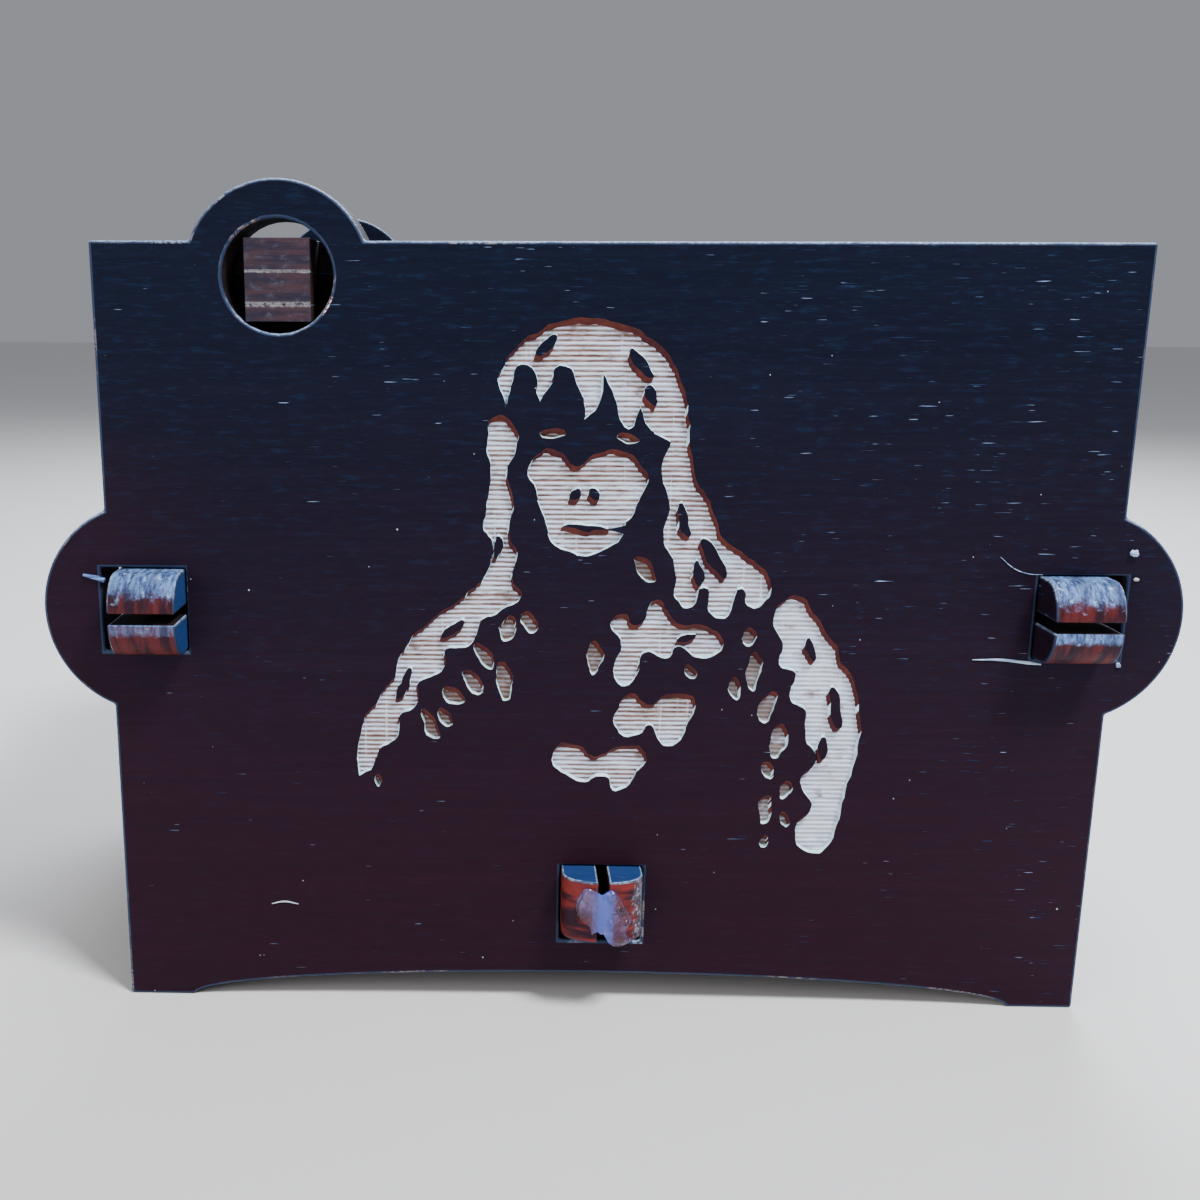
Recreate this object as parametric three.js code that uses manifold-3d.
// Laser-cut plywood puzzle box: two eared plates on feet, three snap-tenon panels between them,
// a laminated see-saw lid on pegs, and the two loose pins that lock it.
// Millimetres, +Z up, front plate towards -Y, feet on z = 0, origin under the middle of the box.

import * as THREE from 'three';
import { mergeVertices } from 'three/addons/utils/BufferGeometryUtils.js';
import Module from 'manifold-3d';

// ---- case ----
const PLY = 5;                    // thickness of the plates and the panels
const WIDTH = 75;                 // plate, straight edge to straight edge
const HEIGHT = 58.6;              // plate, feet to top edge
const DEPTH = 46.2;               // front plate's face to rear plate's back
const SIDE_INSET = 0.8;           // side panel's outer face, in from the plate's edge
const SIDE_BASE = 3;              // side panels start this far above the table
const FLOOR_BASE = 6.5;           // underside of the bottom panel
const FOOT_WIDTH = 5.2;
const ARCH_RISE = 2.4;            // half ellipse between the feet

// ---- snap tenons and their square mortises ----
const TENON_WIDTH = 6.2;
const TENON_CLEARANCE = 0.1;      // each side of the tenon, and on the panel's inner face
const MORTISE_SLACK = 1.3;        // extra room on the panel's outer face
const SIDE_TENON_Z = 31.75;       // middle of the side tenons
const TIP_STRAIGHT = 1.2;         // straight part of a tip beyond the plate
const TIP_ROUND = 2.2;            // rounded nose after it
const FLOOR_TIP_BACK = 0.4;       // the bottom panel's tips end this much sooner
const GLUE_RADII = [2.5, 1.1, 2.2];
const GLUE_SIDE_STEP = 0.2;       // dab's middle, to the right of the slot
const GLUE_RISE = 0.1;            // dab's lowest point, above the bottom panel's underside
const SLOT_WIDTH = 0.85;
const SLOT_DEPTH = 3;             // slot runs this far into the panel, past the shoulder

// ---- ears ----
const SIDE_EAR_INSET = 3.2;       // centre of the side ear, in from the plate's edge
const SIDE_EAR_WALL = 3.25;       // wood beyond the mortise's far corners
const HINGE_INSET = 13.4;         // hinge axis, in from the plate's left edge
const HINGE_BELOW_TOP = 2.45;     // hinge axis, below the plate's top edge
const HINGE_EAR_WALL = 2.7;       // wood around the hinge hole

// ---- lid ----
const LID_LAYERS = { lid_bottom_layer: 1.2, lid_core_layer: 2.3, lid_top_layer: 2.3 };
const PEG_WIDTH = 4.7;
const PEG_DROP = 0.25;            // middle of the lid's thickness, below the hinge axis
const HINGE_CLEARANCE = 0.07;     // between the peg's far corners and the hole
const LID_SIDE_CLEARANCE = 0.25;  // lid to each plate
const LID_END_CLEARANCE = 0.3;    // free end to the right panel
const LID_SWING_CLEARANCE = 0.28; // short end to the left panel while it turns

// ---- lid rest and lock ----
const LEDGE_SIZE = 5;
const LEDGE_CLEARANCE = 0.05;     // lid to ledge
const LEDGE_END_CLEARANCE = 0.2;  // ledge to each plate
const PIN_CLEARANCE = 0.15;       // pin to the layer above it and the layer below it
const PIN_LENGTH = 12;
const PIN_TRAVEL = 2.7;
const PIN_SPACING = 20;           // pin to pin
const PIN_RECESS = 0.2;           // drawn-back pin, inside the lid's free end
const PIN_BACK_GAP = 0.3;         // behind the drawn-back pin
const CHANNEL_CLEARANCE = 0.2;    // per side
const SOCKET_CLEARANCE = 0.25;    // per side, and at the socket's end

// ---- worked out from the above ----
const halfWidth = WIDTH / 2;
const plateInner = DEPTH / 2 - PLY;
const sideOuter = halfWidth - SIDE_INSET;
const sideInner = sideOuter - PLY;
const mortiseWidth = TENON_WIDTH + 2 * TENON_CLEARANCE;
const mortiseDepth = PLY + TENON_CLEARANCE + MORTISE_SLACK;  // across the panel's thickness
const tipReach = PLY + TIP_STRAIGHT + TIP_ROUND;
const lidThickness = Object.values(LID_LAYERS).reduce((sum, layer) => sum + layer, 0);
const hingeX = HINGE_INSET - halfWidth;
const hingeZ = HEIGHT - HINGE_BELOW_TOP;
const lidUnderside = -PEG_DROP - lidThickness / 2;           // from the hinge axis
const pegFarCorner = Math.hypot(PEG_WIDTH / 2, lidUnderside);
const hingeHoleRadius = pegFarCorner + HINGE_CLEARANCE;
const hingeEarRadius = hingeHoleRadius + HINGE_EAR_WALL;
const lidHalfDepth = plateInner - LID_SIDE_CLEARANCE;
const swingRadius = hingeX + sideInner - LID_SWING_CLEARANCE;
const lidShortEnd = -Math.sqrt(swingRadius ** 2 - lidUnderside ** 2);
const lidFreeEnd = sideInner - LID_END_CLEARANCE - hingeX;
const coreMiddle = lidUnderside + LID_LAYERS.lid_bottom_layer + LID_LAYERS.lid_core_layer / 2;
const pinDiameter = LID_LAYERS.lid_core_layer - 2 * PIN_CLEARANCE;
const pinRowY = [-PIN_SPACING / 2, PIN_SPACING / 2];

const CIRCLE_STEPS = 72;
const NOSE_STEPS = 8;             // facets on a prong's rounded nose
const CUTTER_OVERRUN = 1;         // a cutter starts this far outside what it cuts
const MERGE_DISTANCE = 1e-5;

const stainedWood = { color: 0x1d1a26, roughness: 0.62, metalness: 0 };
const rawWood = { color: 0x7a5238, roughness: 0.75, metalness: 0 };
const steel = { color: 0xb8bcc2, roughness: 0.3, metalness: 1 };
const glue = { color: 0xc9cbe6, roughness: 0.25, metalness: 0 };

const wasm = await Module();
wasm.setup();

// Each flat piece is drawn as an outline and extruded by its thickness; a basis says where
// the outline's two axes and its thickness point in the box.
const axisX = new THREE.Vector3(1, 0, 0);
const axisY = new THREE.Vector3(0, 1, 0);
const axisZ = new THREE.Vector3(0, 0, 1);
const upright = new THREE.Matrix4().makeBasis(axisX, axisZ, axisY.clone().negate());
const sideways = new THREE.Matrix4().makeBasis(axisY, axisZ, axisX);
const lying = new THREE.Matrix4().makeBasis(axisY, axisX, axisZ.clone().negate());

function extrude(shape, thickness, basis = new THREE.Matrix4()) {
  const options = { depth: thickness, bevelEnabled: false, curveSegments: CIRCLE_STEPS / 4 };
  return new THREE.ExtrudeGeometry(shape, options).applyMatrix4(basis);
}

function piece(name, geometry, look, position = [0, 0, 0]) {
  const mesh = new THREE.Mesh(geometry, new THREE.MeshStandardMaterial(look));
  mesh.name = name;
  mesh.position.set(...position);
  return mesh;
}

function toSolid(geometry) {
  const bare = geometry.clone();
  bare.deleteAttribute('normal');
  bare.deleteAttribute('uv');
  const merged = mergeVertices(bare, MERGE_DISTANCE);
  return new wasm.Manifold(new wasm.Mesh({
    numProp: 3,
    vertProperties: new Float32Array(merged.attributes.position.array),
    triVerts: new Uint32Array(merged.index.array),
  }));
}

function toGeometry(solid) {
  const mesh = solid.getMesh();
  const geometry = new THREE.BufferGeometry();
  geometry.setAttribute('position', new THREE.BufferAttribute(mesh.vertProperties, 3));
  geometry.setIndex(new THREE.BufferAttribute(mesh.triVerts, 1));
  geometry.computeVertexNormals();
  return geometry;
}

function cut(geometry, cutters) {
  return toGeometry(cutters.reduce((solid, cutter) => solid.subtract(toSolid(cutter)), toSolid(geometry)));
}

// Outline of the front and rear plate: a rectangle on two feet, with an arch between them, an
// ear around each side mortise and an ear around the hinge hole.
function plateShape() {
  const archHalf = halfWidth - FOOT_WIDTH;
  const sideEarX = halfWidth - SIDE_EAR_INSET;
  const mortiseFar = sideInner - TENON_CLEARANCE + mortiseDepth;
  const sideEarRadius = Math.hypot(mortiseFar - sideEarX, mortiseWidth / 2) + SIDE_EAR_WALL;
  const sideEarAngle = Math.acos(SIDE_EAR_INSET / sideEarRadius);
  const topEarAngle = Math.asin(HINGE_BELOW_TOP / hingeEarRadius);

  const shape = new THREE.Shape();
  shape.moveTo(-halfWidth, 0);
  shape.lineTo(-archHalf, 0);
  shape.absellipse(0, 0, archHalf, ARCH_RISE, Math.PI, 0, true);
  shape.lineTo(halfWidth, 0);
  shape.absarc(sideEarX, SIDE_TENON_Z, sideEarRadius, -sideEarAngle, sideEarAngle);
  shape.lineTo(halfWidth, HEIGHT);
  shape.absarc(hingeX, hingeZ, hingeEarRadius, topEarAngle, Math.PI - topEarAngle);
  shape.lineTo(-halfWidth, HEIGHT);
  shape.absarc(-sideEarX, SIDE_TENON_Z, sideEarRadius, Math.PI - sideEarAngle, Math.PI + sideEarAngle);
  shape.closePath();

  const hingeHole = new THREE.Path();
  hingeHole.absarc(hingeX, hingeZ, hingeHoleRadius, 0, 2 * Math.PI, true);
  shape.holes.push(hingeHole);
  return shape;
}

// The mortises leave their slack on the outer side of the panel that they hold.
function plateGeometry() {
  const sideX = sideInner - TENON_CLEARANCE + mortiseDepth / 2;
  const floorZ = FLOOR_BASE + PLY + TENON_CLEARANCE - mortiseDepth / 2;
  const length = PLY + 2 * CUTTER_OVERRUN;
  const sideMortise = new THREE.BoxGeometry(mortiseDepth, length, mortiseWidth);
  const floorMortise = new THREE.BoxGeometry(mortiseWidth, length, mortiseDepth);
  return cut(extrude(plateShape(), PLY, upright), [
    sideMortise.clone().translate(sideX, -PLY / 2, SIDE_TENON_Z),
    sideMortise.clone().translate(-sideX, -PLY / 2, SIDE_TENON_Z),
    floorMortise.translate(0, -PLY / 2, floorZ),
  ]);
}

// One split tenon as [out, across] points, out from the panel's shoulder. Both prongs share
// one rounded nose, with the slot between them.
function tenonPoints(reach) {
  const noseStart = PLY + TIP_STRAIGHT;
  const prong = [[0, TENON_WIDTH / 2]];
  for (let i = 0; i <= NOSE_STEPS; i++) {
    const angle = (Math.PI / 2) * (i / NOSE_STEPS);
    prong.push([
      noseStart + (reach - noseStart) * Math.sin(angle),
      SLOT_WIDTH / 2 + (TENON_WIDTH - SLOT_WIDTH) / 2 * Math.cos(angle),
    ]);
  }
  prong.push([-SLOT_DEPTH, SLOT_WIDTH / 2]);
  const lower = prong.map(([out, across]) => [out, -across]);
  return [...lower, ...prong.reverse()];
}

// A panel's outline: its length runs between the plates with a tenon at each end, and its
// height runs from low to high.
function panelShape(low, high, tenonMiddle, reach) {
  const tenon = tenonPoints(reach);
  const rear = tenon.map(([out, across]) => {
    return new THREE.Vector2(plateInner + out, tenonMiddle + across);
  });
  const front = rear.map((point) => new THREE.Vector2(-point.x, point.y)).reverse();
  return new THREE.Shape([
    new THREE.Vector2(-plateInner, low),
    new THREE.Vector2(plateInner, low),
    ...rear,
    new THREE.Vector2(plateInner, high),
    new THREE.Vector2(-plateInner, high),
    ...front,
  ]);
}

function pinSocket(y) {
  const depth = PIN_TRAVEL - LID_END_CLEARANCE - PIN_RECESS + SOCKET_CLEARANCE;
  const radius = pinDiameter / 2 + SOCKET_CLEARANCE;
  const cutter = new THREE.CylinderGeometry(radius, radius, depth + CUTTER_OVERRUN, CIRCLE_STEPS / 2);
  cutter.rotateZ(Math.PI / 2);
  return cutter.translate(sideInner + (depth - CUTTER_OVERRUN) / 2, y, hingeZ + coreMiddle);
}

function rightSide() {
  const shape = panelShape(SIDE_BASE, HEIGHT, SIDE_TENON_Z, tipReach);
  return cut(extrude(shape, PLY, sideways).translate(sideInner, 0, 0), pinRowY.map(pinSocket));
}

// Lid layers are drawn from the hinge axis, with a peg on each side that turns in the plates.
function lidShape() {
  const pegHalf = PEG_WIDTH / 2;
  const pegEnd = DEPTH / 2;
  return new THREE.Shape([
    new THREE.Vector2(lidShortEnd, -lidHalfDepth),
    new THREE.Vector2(-pegHalf, -lidHalfDepth),
    new THREE.Vector2(-pegHalf, -pegEnd),
    new THREE.Vector2(pegHalf, -pegEnd),
    new THREE.Vector2(pegHalf, -lidHalfDepth),
    new THREE.Vector2(lidFreeEnd, -lidHalfDepth),
    new THREE.Vector2(lidFreeEnd, lidHalfDepth),
    new THREE.Vector2(pegHalf, lidHalfDepth),
    new THREE.Vector2(pegHalf, pegEnd),
    new THREE.Vector2(-pegHalf, pegEnd),
    new THREE.Vector2(-pegHalf, lidHalfDepth),
    new THREE.Vector2(lidShortEnd, lidHalfDepth),
  ]);
}

function channelCutter(y) {
  const length = PIN_RECESS + PIN_LENGTH + PIN_BACK_GAP;
  const width = pinDiameter + 2 * CHANNEL_CLEARANCE;
  const height = LID_LAYERS.lid_core_layer + 2 * CUTTER_OVERRUN;
  const cutter = new THREE.BoxGeometry(length + CUTTER_OVERRUN, width, height);
  const middle = lidFreeEnd + (CUTTER_OVERRUN - length) / 2;
  return cutter.translate(middle, y, LID_LAYERS.lid_core_layer / 2);
}

function lidLayer(name) {
  const layer = extrude(lidShape(), LID_LAYERS[name]);
  return name === 'lid_core_layer' ? cut(layer, pinRowY.map(channelCutter)) : layer;
}

function lid() {
  const group = new THREE.Group();
  group.position.set(hingeX, 0, hingeZ);
  let base = lidUnderside;
  for (const [name, thickness] of Object.entries(LID_LAYERS)) {
    group.add(piece(name, lidLayer(name), stainedWood, [0, 0, base]));
    base += thickness;
  }
  const pin = new THREE.CylinderGeometry(pinDiameter / 2, pinDiameter / 2, PIN_LENGTH, CIRCLE_STEPS / 3);
  pin.rotateZ(Math.PI / 2);
  const pinMiddle = lidFreeEnd - PIN_RECESS - PIN_LENGTH / 2;
  group.add(piece('lock_pin_front', pin, steel, [pinMiddle, pinRowY[0], coreMiddle]));
  group.add(piece('lock_pin_rear', pin.clone(), steel, [pinMiddle, pinRowY[1], coreMiddle]));
  return group;
}

function ledge() {
  const length = 2 * (plateInner - LEDGE_END_CLEARANCE);
  const top = hingeZ + lidUnderside - LEDGE_CLEARANCE;
  const middle = [sideInner - LEDGE_SIZE / 2, 0, top - LEDGE_SIZE / 2];
  return piece('lid_ledge', new THREE.BoxGeometry(LEDGE_SIZE, length, LEDGE_SIZE), rawWood, middle);
}

// A dab of glue over the front tips of the bottom panel, squeezed into their slot. It stands
// out as far as the side panels' tips do.
function glueDab(floorGeometry) {
  const [, halfOut, halfUp] = GLUE_RADII;
  const dab = new THREE.SphereGeometry(1, CIRCLE_STEPS / 3, CIRCLE_STEPS / 4).scale(...GLUE_RADII);
  dab.translate(GLUE_SIDE_STEP, halfOut - plateInner - tipReach, FLOOR_BASE + GLUE_RISE + halfUp);
  return cut(dab, [floorGeometry]);
}

const plate = plateGeometry();
const leftSide = extrude(panelShape(SIDE_BASE, HEIGHT, SIDE_TENON_Z, tipReach), PLY, sideways);
const floorShape = panelShape(-sideInner, sideInner, 0, tipReach - FLOOR_TIP_BACK);
const floor = extrude(floorShape, PLY, lying).translate(0, 0, FLOOR_BASE + PLY);

const group = new THREE.Group();
group.add(
  piece('front_plate', plate, stainedWood, [0, -plateInner, 0]),
  piece('rear_plate', plate.clone(), stainedWood, [0, plateInner + PLY, 0]),
  piece('left_side', leftSide, stainedWood, [-sideOuter, 0, 0]),
  piece('right_side', rightSide(), stainedWood),
  piece('bottom_panel', floor, stainedWood),
  piece('glue_dab', glueDab(floor), glue),
  ledge(),
  lid(),
);

export default group;
